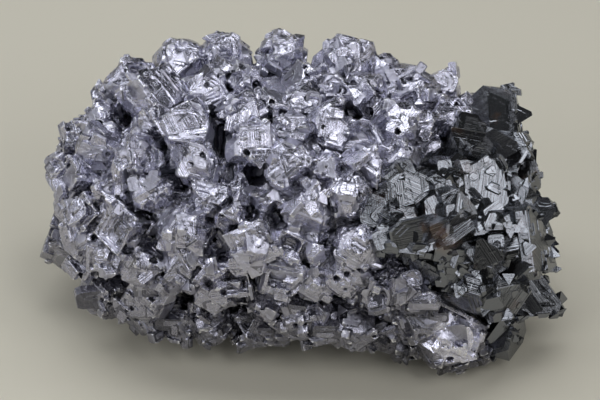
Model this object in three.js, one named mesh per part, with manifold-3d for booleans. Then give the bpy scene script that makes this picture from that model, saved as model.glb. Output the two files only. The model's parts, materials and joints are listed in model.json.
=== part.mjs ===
// A hand-size mineral specimen: parallel-grown galena crystals with black sphalerite on one end.
// Millimetres, +Z up, origin at the middle of the base, +X along the specimen, -Y to the front.

import * as THREE from "three";
import { ConvexGeometry } from "three/addons/geometries/ConvexGeometry.js";
import { mergeVertices } from "three/addons/utils/BufferGeometryUtils.js";
import Module from "manifold-3d";

const wasm = await Module();
wasm.setup();

// The display side is laid out as seen from the front, this many degrees above level.
const SIGHT_ELEVATION = 35;
// Height of the layout's zero point above the table, on the specimen's middle line.
const SIGHT_HEIGHT = 33.5;

// The lump that the crystals stand on: a rounded, slightly arched block lying along X.
// The two exponents set how square its ends and its cross-section are, where 2 is an ellipse.
const LUMP_HALF_LENGTH = 56.5;
const LUMP_HALF_DEPTH = 34;
const LUMP_HALF_HEIGHT = 28.5;
const END_SQUARENESS = 2.8;
const SECTION_SQUARENESS = 2.4;
const AXIS_HEIGHT = 28;
const AXIS_ARCH_UP = 7.3;
const AXIS_ARCH_BACK = 4;
const AXIS_DROP = 3.3;
const AXIS_SWING = 4.5;

// The grown-together middle lies this far under the lump's surface, where gaps between crystals end.
const GAP_DEPTH = 1.6;
// Clear gap between the two minerals.
const MINERAL_GAP = 0.3;
// How far out from the lump a crystal of the outline may stand, as a share of the lump's size.
const MISS_REACH = 0.15;
// How far the listed crystals of the display side have grown, as a share of the listed half width.
const DISPLAY_GROWTH = 0.95;
// Crystals between these half widths carry a stepped block.
const BLOCK_FROM = 6;
const BLOCK_TO = 7.6;
// Bare places: how many are tried, the crystals' largest and least half widths, and the lowest height.
const FILL_PLACES = 300;
const FILL_SIZE = 9.5;
const FILL_LEAST = 7.2;
const FILL_LEAST_ON_TOP = 5.2;
const FILL_LOWEST = 7;

// Outline of the broken foot that the specimen rests on, as corners on the table.
const FOOT_CORNERS = [
  [-32, 4],
  [-18, -4],
  [8, -5],
  [34, -8],
  [44, 4],
  [38, 21],
  [10, 28],
  [-22, 25],
  [-34, 14],
];
const FOOT_HEIGHT = 22;
const FOOT_SPREAD = 1.08;

const GALENA_COLOUR = "#8f8f9c";
const SPHALERITE_COLOUR = "#1c1a19";

// Galena crystals of the display side, by region, each as [across, up, size, habit].
// across and up are measured in the plane that faces the viewer, size is the crystal's half width.
// The habit is C for a cube with cut corners, O for an octahedron with cut tips, M for the mix.
// The crystals of a region lie nearly parallel: its shown face looks toward one way, at one spin.
const UPPER_LEFT = {
  shown: "octa",
  toward: [-0.35, -0.6, 0.7],
  spin: 20,
  crystals: [
    [-41.5, 29, 7.4, "M"],
    [-48.5, 28, 4.6, "O"],
    [-49, 21, 5.4, "M"],
    [-55, 18, 4.6, "O"],
    [-49.5, 15, 5, "C"],
    [-40, 11, 6.4, "M"],
    [-44.5, 4, 5.2, "M"],
    [-36, 3.5, 5.2, "O"],
    [-35, 20.5, 4.6, "M"],
  ],
};
const LEFT_FLANK = {
  shown: "cube",
  toward: [-0.62, -0.68, 0.38],
  spin: 25,
  crystals: [
    [-58.5, 9, 4.6, "C"],
    [-54, 6, 5.8, "C"],
    [-57, 0.5, 4.4, "C"],
    [-51, -1, 5, "C"],
    [-42, -5, 6, "C"],
    [-54, -7, 4.8, "C"],
    [-51.5, -13, 4.4, "C"],
    [-47, -12, 5.4, "M"],
    [-48, -21, 6.2, "C"],
    [-38, -13.5, 5.8, "M"],
    [-37, -22.5, 5.6, "C"],
  ],
};
const TOP_LEFT = {
  shown: "octa",
  toward: [0.1, -0.5, 0.85],
  spin: 75,
  crystals: [
    [-29, 36, 6.4, "M"],
    [-19, 38.5, 6, "M"],
    [-18, 32.5, 5, "C"],
    [-13, 29.5, 4.8, "M"],
    [-4, 38, 5.8, "M"],
    [2, 31, 4.8, "C"],
  ],
};
const TOP_RIGHT = {
  shown: "octa",
  toward: [0.2, -0.6, 0.78],
  spin: 5,
  crystals: [
    [12.5, 37.5, 7, "M"],
    [22, 36, 4.6, "M"],
    [26, 30.5, 6, "M"],
    [36, 30.5, 6.2, "C"],
    [43, 27, 4.2, "M"],
    [8, 28.5, 4.8, "O"],
    [16, 28.5, 5.4, "M"],
    [25, 19.5, 6.4, "M"],
    [37, 21.5, 5.4, "O"],
    [33, 13.5, 4.2, "C"],
  ],
};
const UPPER_MIDDLE = {
  shown: "cube",
  toward: [0.12, -0.9, 0.42],
  spin: 38,
  crystals: [
    [-27, 19.5, 7.4, "C"],
    [-23, 28, 5.6, "C"],
    [-24.5, 11.5, 5.8, "M"],
    [-14, 22.5, 5.8, "M"],
    [-7, 24.5, 4.8, "O"],
    [-10.5, 15.5, 6, "M"],
    [-1.5, 18.5, 4.8, "M"],
    [1.5, 25, 5.2, "M"],
    [8, 20.5, 5.8, "M"],
  ],
};
const MIDDLE = {
  shown: "octa",
  toward: [0.05, -0.72, 0.7],
  spin: 50,
  crystals: [
    [-2, 10.5, 6.4, "O"],
    [7, 8.5, 4.8, "M"],
    [17, 10, 5.6, "M"],
    [25, 11, 4.8, "M"],
    [12, 3.5, 5.6, "M"],
    [2, 0.5, 6.2, "M"],
    [-7.5, 3, 4.2, "O"],
    [-16, -1.5, 4.4, "M"],
    [-22, 2, 4.6, "O"],
    [-27.5, -5, 6.6, "M"],
  ],
};
const LOWER_MIDDLE = {
  shown: "cube",
  toward: [-0.12, -0.95, 0.25],
  spin: 12,
  crystals: [
    [-10.5, -7, 6.6, "C"],
    [-2.5, -8, 5, "M"],
    [4, -9.5, 4.6, "O"],
    [-33, -17, 4.4, "O"],
    [-27, -13.5, 6, "M"],
    [-21, -21, 4.8, "M"],
    [-15.5, -16, 5.6, "C"],
    [-4, -15.5, 5.8, "M"],
    [-7, -24, 4.4, "O"],
    [3.5, -18, 4.6, "M"],
    [14.5, -9, 5.6, "M"],
    [11, -16, 5.2, "M"],
    [20, -20, 4.8, "M"],
    [28, -19, 5.6, "M"],
  ],
};
const BOTTOM_EDGE = {
  shown: "octa",
  toward: [0.1, -0.98, -0.1],
  spin: 33,
  crystals: [
    [-37, -28.5, 4.8, "C"],
    [-29, -28, 5.2, "C"],
    [-22, -29, 5.4, "M"],
    [-11.5, -29.5, 5.8, "M"],
    [-5, -30, 4.8, "O"],
    [-0.5, -26.5, 5.8, "O"],
    [6.5, -28, 6, "C"],
    [13.5, -28.5, 6, "M"],
    [21.5, -30.5, 5.8, "O"],
    [26.5, -33, 4.6, "M"],
    [30, -26.5, 6.4, "C"],
    [33.5, -35, 4.4, "M"],
    [37, -30, 9, "M"],
    [40, -35.5, 7, "M"],
    [36, -38.5, 6, "M"],
  ],
};
const REGIONS = [
  UPPER_LEFT,
  LEFT_FLANK,
  TOP_LEFT,
  TOP_RIGHT,
  UPPER_MIDDLE,
  MIDDLE,
  LOWER_MIDDLE,
  BOTTOM_EDGE,
];

// Sphalerite crystals of the display side: [across, up, size], with tip where a tip points upward.
const BLACK_CRYSTALS = [
  [52, 21, 9, "tip"],
  [56, 16, 4.4],
  [42, 16, 5.8],
  [50, 12, 7],
  [57, 8, 5],
  [25, 4, 5],
  [35.5, 6.5, 5.6],
  [44, 5, 5.6],
  [51.5, 2.5, 5.6],
  [36, -3, 7],
  [45.5, -3, 5],
  [19.5, 0, 3.8],
  [25.5, -7, 6.2, "tip"],
  [53.5, -9, 7],
  [58.5, -3, 4.6],
  [61, -12, 4.8],
  [45.5, -11.5, 5.8],
  [37.5, -12, 5.4],
  [31, -14, 4],
  [41.5, -19.5, 5.8],
  [49.5, -20, 5.6],
  [55.5, -20.5, 7],
  [50.5, -30, 5.8],
];

// Outline of the black crust on the display side, as [across, up] corners.
const CRUST_OUTLINE = [
  [19, 0],
  [24, 8],
  [40, 20],
  [49, 27],
  [60, 24],
  [64, 0],
  [63, -20],
  [52, -36],
  [44, -28],
  [32, -22],
  [24, -12],
];
// How deep the crust goes along the sight line, and two points where it ends at the back.
const CRUST_DEPTH = 4;
const CRUST_BACK = [
  [62, 18, 12],
  [62, 18, 42],
];

// Dark slots and hollows between crystals: [across, up, width, height, tilt in degrees].
const HOLLOWS = [
  [-46.5, 11, 4, 7, 20],
  [-20, 16.5, 4, 11, -8],
  [-10, 8, 9, 7, 30],
  [3.5, 36.5, 3, 9, 8],
  [13.5, 23, 7, 4, 15],
  [34, 18, 3, 10, 40],
  [-48, -17.5, 8, 4, -10],
];

// Repeatable random numbers from 0 to 1.
let randomState = 20611;
function random() {
  randomState = (randomState + 0x6d2b79f5) | 0;
  let t = Math.imul(randomState ^ (randomState >>> 15), 1 | randomState);
  t = (t + Math.imul(t ^ (t >>> 7), 61 | t)) ^ t;
  return ((t ^ (t >>> 14)) >>> 0) / 4294967296;
}
function between(low, high) {
  return low + (high - low) * random();
}

// Directions of the sight line and of "up" in the plane that faces the viewer.
const elevation = THREE.MathUtils.degToRad(SIGHT_ELEVATION);
const sight = new THREE.Vector3(0, Math.cos(elevation), -Math.sin(elevation));
const sightUp = new THREE.Vector3(0, Math.sin(elevation), Math.cos(elevation));

// Negative inside the lump, zero on its surface.
function lumpField(p) {
  const along = p.x / LUMP_HALF_LENGTH;
  const arch = 1 - along * along;
  const axisY = AXIS_ARCH_BACK * arch - AXIS_SWING * along;
  const axisZ = AXIS_HEIGHT + AXIS_ARCH_UP * arch - AXIS_DROP * along;
  const deep = (p.y - axisY) / LUMP_HALF_DEPTH;
  const high = (p.z - axisZ) / LUMP_HALF_HEIGHT;
  const section = Math.abs(deep) ** SECTION_SQUARENESS + Math.abs(high) ** SECTION_SQUARENESS;
  return Math.abs(along) ** END_SQUARENESS + section ** (END_SQUARENESS / SECTION_SQUARENESS) - 1;
}

function lumpNormal(p) {
  const step = 0.05;
  const slope = (axis) => {
    const ahead = p.clone();
    const behind = p.clone();
    ahead[axis] += step;
    behind[axis] -= step;
    return lumpField(ahead) - lumpField(behind);
  };
  return new THREE.Vector3(slope("x"), slope("y"), slope("z")).normalize();
}

// First point of the lump along a line, or the point that passes closest to it.
function dropOnLump(start, direction) {
  let best = Infinity;
  let bestPoint = start;
  for (let travel = 0; travel < 240; travel += 0.25) {
    const p = start.clone().addScaledVector(direction, travel);
    const field = lumpField(p);
    if (field < best) {
      best = field;
      bestPoint = p;
    }
    if (field <= 0) break;
  }
  // A line that misses the lump gives a point beside it, which is brought in to touch it.
  while (lumpField(bestPoint) > MISS_REACH) {
    bestPoint.addScaledVector(lumpNormal(bestPoint), -0.25);
  }
  return bestPoint;
}

function placeOnDisplaySide(across, up) {
  const start = new THREE.Vector3(across, 0, SIGHT_HEIGHT);
  start.addScaledVector(sightUp, up);
  start.addScaledVector(sight, -120);
  return dropOnLump(start, sight);
}

// Corners of the convex solid bounded by planes, each given as a unit normal and a distance.
function cornersOf(planes) {
  const corners = [];
  const matrix = new THREE.Matrix3();
  for (let i = 0; i < planes.length; i += 1) {
    for (let j = i + 1; j < planes.length; j += 1) {
      for (let k = j + 1; k < planes.length; k += 1) {
        const [a, b, c] = [planes[i], planes[j], planes[k]];
        matrix.set(a.n.x, a.n.y, a.n.z, b.n.x, b.n.y, b.n.z, c.n.x, c.n.y, c.n.z);
        if (Math.abs(matrix.determinant()) < 1e-4) continue;
        const corner = new THREE.Vector3(a.d, b.d, c.d).applyMatrix3(matrix.invert());
        if (planes.every((q) => q.n.dot(corner) <= q.d + 1e-5)) corners.push(corner);
      }
    }
  }
  return corners;
}

const CUBE_NORMALS = [];
for (const axis of ["x", "y", "z"]) {
  for (const sign of [-1, 1]) {
    const n = new THREE.Vector3();
    n[axis] = sign;
    CUBE_NORMALS.push(n);
  }
}
const OCTA_NORMALS = [];
for (const x of [-1, 1]) {
  for (const y of [-1, 1]) {
    for (const z of [-1, 1]) {
      OCTA_NORMALS.push(new THREE.Vector3(x, y, z).normalize());
    }
  }
}

// Galena crystals. C is a cube with its outermost corner cut, O an octahedron with its outermost
// tips cut, and M is the mix, where the cuts meet at the middle of every cube edge.
const MIX_RATIO = 2 / Math.sqrt(3);
function galenaPlanes(size, habit, outward) {
  const planes = [];
  const looksOut = (n, least) => n.dot(outward) > least;
  for (const n of CUBE_NORMALS) {
    if (habit === "C") planes.push({ n, d: size * 0.84 * between(0.9, 1.1) });
    if (habit === "M") planes.push({ n, d: size * 0.92 });
    if (habit === "O" && looksOut(n, 0.5)) planes.push({ n, d: size * between(1.0, 1.15) });
  }
  for (const n of OCTA_NORMALS) {
    if (habit === "O") planes.push({ n, d: size * 0.84 * between(0.9, 1.1) });
    if (habit === "M") planes.push({ n, d: size * 0.92 * MIX_RATIO });
    if (habit === "C" && looksOut(n, 0.8)) planes.push({ n, d: size * between(1.0, 1.15) });
  }
  return planes;
}

// Sphalerite grows as tetrahedra: four large faces, cut tips and a few narrow faces on the edges.
function sphaleritePlanes(size) {
  const planes = [];
  for (const n of OCTA_NORMALS) {
    const large = n.x * n.y * n.z > 0;
    planes.push({ n, d: size * (large ? between(0.68, 0.82) : between(1.2, 1.55)) });
  }
  const first = Math.floor(random() * 6);
  CUBE_NORMALS.forEach((n, i) => {
    if ((i + first) % 3 === 0) planes.push({ n, d: size * between(0.9, 1.1) });
  });
  return planes;
}

function solidFromPoints(points) {
  const geometry = new ConvexGeometry(points);
  return solidFromGeometry(geometry);
}

function solidFromGeometry(geometry) {
  geometry.deleteAttribute("normal");
  geometry.deleteAttribute("uv");
  const merged = mergeVertices(geometry, 1e-4);
  const vertProperties = new Float32Array(merged.attributes.position.array);
  const triVerts = new Uint32Array(merged.index.array);
  return new wasm.Manifold(new wasm.Mesh({ numProp: 3, vertProperties, triVerts }));
}

// A turn that brings one crystal direction round to face outward, with a free spin about it.
function turnFacing(crystalDirection, outward, spin) {
  const turn = new THREE.Quaternion().setFromUnitVectors(crystalDirection, outward);
  const spinTurn = new THREE.Quaternion().setFromAxisAngle(outward, spin);
  return spinTurn.multiply(turn);
}

function leanedDirection(direction, lean) {
  const v = direction.clone();
  v.x += between(-lean, lean);
  v.y += between(-lean, lean);
  v.z += between(-lean, lean);
  return v.normalize();
}

// One crystal: its planes, moved out by swell, turned and set at a centre.
function crystalSolid(planes, turn, centre, swell) {
  const grown = planes.map((plane) => ({ n: plane.n, d: plane.d + swell }));
  const points = cornersOf(grown).map((corner) => corner.applyQuaternion(turn).add(centre));
  return solidFromPoints(points);
}

const galenaSolids = [];
const grownPlaces = [];

// A crystal and the smaller block, in the same orientation, that steps out of a larger one.
function growGalena(point, size, habit, turn) {
  const normal = lumpNormal(point);
  const outward = normal.clone().applyQuaternion(turn.clone().invert());
  grownPlaces.push({ point, size });
  galenaSolids.push(crystalSolid(galenaPlanes(size, habit, outward), turn, point, 0));
  if (size < BLOCK_FROM || size > BLOCK_TO) return;
  const ways = [...CUBE_NORMALS, ...OCTA_NORMALS].map((n) => n.clone().applyQuaternion(turn));
  const outer = ways.filter((way) => way.dot(normal) > 0.25);
  const way = outer[Math.floor(random() * outer.length)];
  const small = size * between(0.5, 0.64);
  const centre = point.clone().addScaledVector(way, size * between(0.55, 0.72));
  galenaSolids.push(crystalSolid(galenaPlanes(small, habit, outward), turn, centre, 0));
}

const blackSolids = [];
const blackSeats = [];

function growSphalerite(point, size, facing, tipUp) {
  const outward = tipUp ? leanedDirection(sightUp, 0.25) : leanedDirection(facing, 0.45);
  const shown = tipUp || random() < 0.5 ? OCTA_NORMALS[0] : OCTA_NORMALS[7];
  const turn = turnFacing(shown, outward, between(0, Math.PI * 2));
  const planes = sphaleritePlanes(size);
  grownPlaces.push({ point, size });
  blackSolids.push(crystalSolid(planes, turn, point, 0));
  blackSeats.push(crystalSolid(planes, turn, point, MINERAL_GAP));
}

// The display side.
for (const region of REGIONS) {
  const shown = region.shown === "cube" ? CUBE_NORMALS[5] : OCTA_NORMALS[7];
  const toward = new THREE.Vector3(...region.toward).normalize();
  for (const [across, up, size, habit] of region.crystals) {
    const point = placeOnDisplaySide(across, up);
    const facing = lumpNormal(point).multiplyScalar(0.35).add(toward).normalize();
    const spin = THREE.MathUtils.degToRad(region.spin + between(-14, 14));
    growGalena(point, size * DISPLAY_GROWTH, habit, turnFacing(shown, leanedDirection(facing, 0.14), spin));
  }
}
for (const [across, up, size, tip] of BLACK_CRYSTALS) {
  const point = placeOnDisplaySide(across, up);
  const facing = lumpNormal(point).addScaledVector(sight, -0.4).normalize();
  growSphalerite(point, size, facing, tip === "tip");
}

// Bare places on the top, back and ends are filled from an even spread of points round the lump.
const lumpCentre = new THREE.Vector3(0, AXIS_ARCH_BACK, AXIS_HEIGHT + AXIS_ARCH_UP);
const goldenTurn = Math.PI * (3 - Math.sqrt(5));
for (let i = 0; i < FILL_PLACES; i += 1) {
  const level = 1 - (2 * i + 1) / FILL_PLACES;
  const ring = Math.sqrt(1 - level * level);
  const way = new THREE.Vector3(Math.cos(goldenTurn * i) * ring, Math.sin(goldenTurn * i) * ring, level);
  way.x *= LUMP_HALF_LENGTH;
  way.y *= LUMP_HALF_DEPTH;
  way.z *= LUMP_HALF_HEIGHT;
  way.normalize();
  const start = lumpCentre.clone().addScaledVector(way, 110);
  const point = dropOnLump(start, way.clone().negate());
  const normal = lumpNormal(point);
  if (point.z < FILL_LOWEST || normal.z < -0.8) continue;
  const room = Math.min(...grownPlaces.map((place) => place.point.distanceTo(point) - place.size * 0.84));
  const size = Math.min(room, FILL_SIZE * between(0.85, 1.1));
  const onTop = normal.z > 0.45;
  if (size < (onTop ? FILL_LEAST_ON_TOP : FILL_LEAST)) continue;
  if (point.x > 44 && normal.dot(sight) > -0.5) {
    growSphalerite(point, size * 0.95, normal, false);
  } else {
    const habit = ["C", "M", "O"][Math.floor(random() * 3)];
    const turn = turnFacing(OCTA_NORMALS[7], leanedDirection(normal, 0.3), between(0, Math.PI * 2));
    growGalena(point, size, habit, turn);
  }
}

// The grown-together middle: the lump's surface taken in by the depth of the gaps.
const middle = new THREE.IcosahedronGeometry(1, 1);
const middlePositions = middle.attributes.position;
for (let i = 0; i < middlePositions.count; i += 1) {
  const way = new THREE.Vector3().fromBufferAttribute(middlePositions, i);
  way.x *= LUMP_HALF_LENGTH;
  way.y *= LUMP_HALF_DEPTH;
  way.z *= LUMP_HALF_HEIGHT;
  way.normalize();
  const start = lumpCentre.clone().addScaledVector(way, 110);
  const point = dropOnLump(start, way.clone().negate());
  point.addScaledVector(lumpNormal(point), -GAP_DEPTH);
  middlePositions.setXYZ(i, point.x, point.y, point.z);
}

// The broken foot under the middle of the specimen.
const footPoints = [];
for (const [x, y] of FOOT_CORNERS) {
  footPoints.push(new THREE.Vector3(x, y, -2));
  footPoints.push(new THREE.Vector3(x * FOOT_SPREAD, y * FOOT_SPREAD, FOOT_HEIGHT));
}

const middleSolid = solidFromGeometry(middle);
let galena = middleSolid.add(solidFromPoints(footPoints));
for (const solid of galenaSolids) {
  galena = galena.add(solid);
}

// Slots and hollows run in along the sight line from a four-cornered mouth to a narrow end.
for (const [across, up, width, height, tilt] of HOLLOWS) {
  const point = placeOnDisplaySide(across, up);
  const right = new THREE.Vector3(1, 0, 0).applyAxisAngle(sight, THREE.MathUtils.degToRad(tilt));
  const upward = sightUp.clone().applyAxisAngle(sight, THREE.MathUtils.degToRad(tilt));
  const points = [];
  for (const side of [-1, 1]) {
    const mouth = point.clone().addScaledVector(sight, -10);
    points.push(mouth.clone().addScaledVector(right, side * width));
    points.push(mouth.clone().addScaledVector(upward, side * height));
    points.push(point.clone().addScaledVector(sight, 7).addScaledVector(upward, side * height * 0.25));
  }
  galena = galena.subtract(solidFromPoints(points));
}

// The black crust fills a pocket in the end of the lump, with a clear gap all round.
const pocketPoints = CRUST_BACK.map(([x, y, z]) => new THREE.Vector3(x, y, z));
for (const [across, up] of CRUST_OUTLINE) {
  const point = placeOnDisplaySide(across, up);
  pocketPoints.push(point.clone().addScaledVector(sight, -12));
  pocketPoints.push(point.clone().addScaledVector(sight, CRUST_DEPTH));
}
const pocketCentre = new THREE.Vector3();
for (const point of pocketPoints) {
  pocketCentre.addScaledVector(point, 1 / pocketPoints.length);
}
const crustPoints = pocketPoints.map((point) => {
  const inward = pocketCentre.clone().sub(point).normalize();
  return point.clone().addScaledVector(inward, MINERAL_GAP * 2);
});

let sphalerite = solidFromPoints(crustPoints).intersect(middleSolid);
for (const solid of blackSolids) {
  sphalerite = sphalerite.add(solid);
}
galena = galena.subtract(solidFromPoints(pocketPoints));
for (const seat of blackSeats) {
  galena = galena.subtract(seat);
}

// Everything under the table plane is cut away, which leaves the flat face it rests on.
const underTable = new THREE.BoxGeometry(300, 300, 60);
underTable.translate(0, 0, -30);
const underTableSolid = solidFromGeometry(underTable);
galena = galena.subtract(underTableSolid);
sphalerite = sphalerite.subtract(underTableSolid);

// Crumbs left by the cuts are dropped: each mineral is one solid.
function largestBody(solid) {
  let largest = null;
  for (const body of solid.decompose()) {
    if (!largest || body.volume() > largest.volume()) largest = body;
  }
  return largest;
}
galena = largestBody(galena);
sphalerite = largestBody(sphalerite);

function meshOf(solid, name, material) {
  const { vertProperties, triVerts } = solid.getMesh();
  const geometry = new THREE.BufferGeometry();
  geometry.setAttribute("position", new THREE.BufferAttribute(new Float32Array(vertProperties), 3));
  geometry.setIndex(new THREE.BufferAttribute(new Uint32Array(triVerts), 1));
  geometry.computeVertexNormals();
  const mesh = new THREE.Mesh(geometry, material);
  mesh.name = name;
  return mesh;
}

const galenaMaterial = new THREE.MeshStandardMaterial({
  color: GALENA_COLOUR,
  roughness: 0.35,
  metalness: 1,
  flatShading: true,
});
const sphaleriteMaterial = new THREE.MeshStandardMaterial({
  color: SPHALERITE_COLOUR,
  roughness: 0.25,
  metalness: 0,
  flatShading: true,
});

const group = new THREE.Group();
group.add(meshOf(galena, "galena", galenaMaterial));
group.add(meshOf(sphalerite, "sphalerite", sphaleriteMaterial));

// Origin at the middle of the base.
const box = new THREE.Box3().setFromObject(group);
const middlePoint = box.getCenter(new THREE.Vector3());
for (const mesh of group.children) {
  mesh.geometry.translate(-middlePoint.x, -middlePoint.y, -box.min.z);
}

export default group;
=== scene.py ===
# %% [markdown]
# # A galena cluster with black sphalerite
#
# The specimen is a hand-size cluster of lead-grey galena crystals, with black sphalerite crystals
# grown over one end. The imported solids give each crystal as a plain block. Here every block gets the
# steps, plates, rims and pits that a real skeletal crystal shows, and a finish with metallic lustre.

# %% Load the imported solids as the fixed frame
import json
import math

import bmesh
import bpy
import numpy as np
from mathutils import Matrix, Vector

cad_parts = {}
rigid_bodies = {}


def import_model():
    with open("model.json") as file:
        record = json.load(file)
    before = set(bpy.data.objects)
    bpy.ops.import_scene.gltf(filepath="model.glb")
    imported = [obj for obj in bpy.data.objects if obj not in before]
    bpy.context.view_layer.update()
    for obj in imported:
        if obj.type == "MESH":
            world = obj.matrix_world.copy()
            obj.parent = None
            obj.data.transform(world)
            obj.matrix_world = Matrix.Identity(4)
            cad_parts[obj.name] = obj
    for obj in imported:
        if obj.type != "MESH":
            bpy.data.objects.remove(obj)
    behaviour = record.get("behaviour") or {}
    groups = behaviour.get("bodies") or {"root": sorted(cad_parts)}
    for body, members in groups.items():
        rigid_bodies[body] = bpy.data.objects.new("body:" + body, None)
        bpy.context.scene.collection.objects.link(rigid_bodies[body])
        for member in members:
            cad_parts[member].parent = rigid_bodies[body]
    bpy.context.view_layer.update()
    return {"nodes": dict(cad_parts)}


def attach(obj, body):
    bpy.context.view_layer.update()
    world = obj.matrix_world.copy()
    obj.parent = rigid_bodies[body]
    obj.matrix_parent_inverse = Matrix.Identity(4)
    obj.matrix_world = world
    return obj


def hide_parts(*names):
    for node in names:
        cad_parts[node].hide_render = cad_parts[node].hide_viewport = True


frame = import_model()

print("solids:", sorted(frame["nodes"]))

# %% [markdown]
# ## Camera
#
# The specimen was photographed from the front and a little above, with a long lens, so near and far
# crystals have almost the same scale. A camera could be placed by eye; here it is placed by three
# values instead: the point it looks at, how high it stands, and how many millimetres the picture spans.

# %% Camera at the photograph's angle
LOOKED_AT = Vector((-0.0003, -0.0045, 0.03575))
CAMERA_ELEVATION = math.radians(35)
CAMERA_DISTANCE = 1.2
PICTURE_WIDTH = 0.150

camera_data = bpy.data.cameras.new("camera")
camera = bpy.data.objects.new("camera", camera_data)
bpy.context.scene.collection.objects.link(camera)
toward_camera = Vector((0, -math.cos(CAMERA_ELEVATION), math.sin(CAMERA_ELEVATION)))
camera.location = LOOKED_AT + toward_camera * CAMERA_DISTANCE
camera.rotation_euler = (-toward_camera).to_track_quat("-Z", "Y").to_euler()
camera_data.sensor_width = 36
camera_data.lens = camera_data.sensor_width * CAMERA_DISTANCE / PICTURE_WIDTH
camera_data.clip_end = 20
bpy.context.scene.camera = camera
print("lens in millimetres:", round(camera_data.lens))

# %% [markdown]
# ## Floor and light
#
# The specimen stands on plain khaki paper under soft studio light. A metallic surface shows little of
# its own colour: it shows what it mirrors. One huge panel would make all its faces alike. Several
# narrower soft panels with dark gaps between them, overhead and beside the camera, let one face shine
# while its neighbour stays dark, and low faces mirror the paper.

# %% Paper floor
FLOOR_SIZE = 6.0

floor_mesh = bpy.data.meshes.new("paper")
half = FLOOR_SIZE / 2
floor_mesh.from_pydata(
    [(-half, -half, 0), (half, -half, 0), (half, half, 0), (-half, half, 0)],
    [],
    [(0, 1, 2, 3)],
)
floor = bpy.data.objects.new("paper", floor_mesh)
bpy.context.scene.collection.objects.link(floor)

paper = bpy.data.materials.new("paper")
paper.use_nodes = True
paper_surface = paper.node_tree.nodes["Principled BSDF"]
paper_surface.inputs["Base Color"].default_value = (0.66, 0.63, 0.53, 1)
paper_surface.inputs["Roughness"].default_value = 0.9
floor_mesh.materials.append(paper)


# %% Soft light panels
LIT_POINT = Vector((0, 0, 0.03))


def soft_panel(name, place, size, radiance, tint):
    """A rectangular soft light that looks at the specimen, given by how bright its own surface is."""
    data = bpy.data.lights.new(name, "AREA")
    data.shape = "RECTANGLE"
    data.size, data.size_y = size
    data.energy = radiance * math.pi * size[0] * size[1]
    data.color = tint
    panel = bpy.data.objects.new(name, data)
    bpy.context.scene.collection.objects.link(panel)
    panel.location = place
    panel.rotation_euler = (LIT_POINT - Vector(place)).to_track_quat("-Z", "Y").to_euler()


soft_panel("top_left_panel", (-0.28, 0.05, 0.75), (0.26, 0.5), 3.4, (0.96, 0.98, 1.0))
soft_panel("top_right_panel", (0.16, 0.05, 0.75), (0.26, 0.5), 3.4, (0.97, 0.98, 1.0))
soft_panel("back_panel", (-0.45, 0.80, 0.55), (0.9, 0.4), 1.4, (0.95, 0.97, 1.0))
soft_panel("front_right_panel", (0.28, -0.66, 0.68), (0.22, 0.5), 3.9, (0.98, 0.99, 1.0))
soft_panel("far_right_panel", (0.62, -0.50, 0.58), (0.22, 0.5), 3.6, (0.99, 0.99, 1.0))
soft_panel("front_left_panel", (-0.42, -0.72, 0.52), (0.22, 0.5), 3.0, (0.97, 0.98, 1.0))
soft_panel("far_left_panel", (-0.74, -0.42, 0.48), (0.22, 0.5), 3.0, (0.97, 0.98, 1.0))
soft_panel("left_panel", (-0.85, -0.05, 0.40), (0.4, 0.4), 1.0, (0.96, 0.98, 1.0))
soft_panel("right_panel", (0.85, 0.10, 0.45), (0.4, 0.4), 1.2, (1.0, 0.99, 0.97))

world = bpy.data.worlds.new("dim_room")
world.use_nodes = True
world.node_tree.nodes["Background"].inputs["Color"].default_value = (0.9, 0.93, 1.0, 1)
world.node_tree.nodes["Background"].inputs["Strength"].default_value = 0.03
bpy.context.scene.world = world
bpy.context.scene.view_settings.view_transform = "Standard"

# %% [markdown]
# ## Reading the flat faces of the solids
#
# A crystal grows in layers that spread over its flat faces, so all the fine relief follows those
# faces. The solids come as triangles. Triangles that touch along an edge and share a plane are
# gathered into one facet again, and each facet keeps its normal, its area and its longest edge.

# %% Welding and facets
MM = 1000.0


def column(items, name, width=1, kind=float):
    """One property of all the points, edges or faces of a mesh, as an array."""
    values = np.zeros(len(items) * width, kind)
    items.foreach_get(name, values)
    return values.reshape(-1, width) if width > 1 else values


def welded_triangles(node):
    """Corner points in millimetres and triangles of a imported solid, with doubled corners joined."""
    mesh = frame["nodes"][node].data
    mesh.calc_loop_triangles()
    points = column(mesh.vertices, "co", 3)
    triangles = column(mesh.loop_triangles, "vertices", 3, np.int32)
    keys = np.round(points * 1e6).astype(np.int64)
    _, first, back = np.unique(keys, axis=0, return_index=True, return_inverse=True)
    return points[first] * MM, back.reshape(-1)[triangles]


def triangle_normals(points, triangles):
    """Unit normals and areas of triangles."""
    a, b, c = (points[triangles[:, i]] for i in range(3))
    cross = np.cross(b - a, c - a)
    length = np.linalg.norm(cross, axis=1)
    return cross / np.maximum(length, 1e-12)[:, None], length / 2


# %% Gathering triangles into facets
def facet_labels(points, triangles, normals, areas, cosine=0.99995):
    """A facet number for each triangle, and the sorted edges with the two triangles beside each."""
    corners = np.concatenate([triangles[:, [0, 1]], triangles[:, [1, 2]], triangles[:, [2, 0]]])
    owner = np.tile(np.arange(len(triangles)), 3)
    corners = np.sort(corners, axis=1)
    order = np.lexsort((corners[:, 1], corners[:, 0]))
    corners, owner = corners[order], owner[order]
    same = np.all(corners[1:] == corners[:-1], axis=1)
    first = np.nonzero(same)[0]
    edges, left, right = corners[first], owner[first], owner[first + 1]
    flat = np.sum(normals[left] * normals[right], axis=1) > cosine
    flat |= (areas[left] < 1e-4) | (areas[right] < 1e-4)
    parent = list(range(len(triangles)))

    def root(i):
        while parent[i] != i:
            parent[i] = parent[parent[i]]
            i = parent[i]
        return i

    for i, j in zip(left[flat].tolist(), right[flat].tolist()):
        parent[root(i)] = root(j)
    roots = np.array([root(i) for i in range(len(triangles))])
    labels = np.unique(roots, return_inverse=True)[1]
    return labels, edges, left, right


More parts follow.
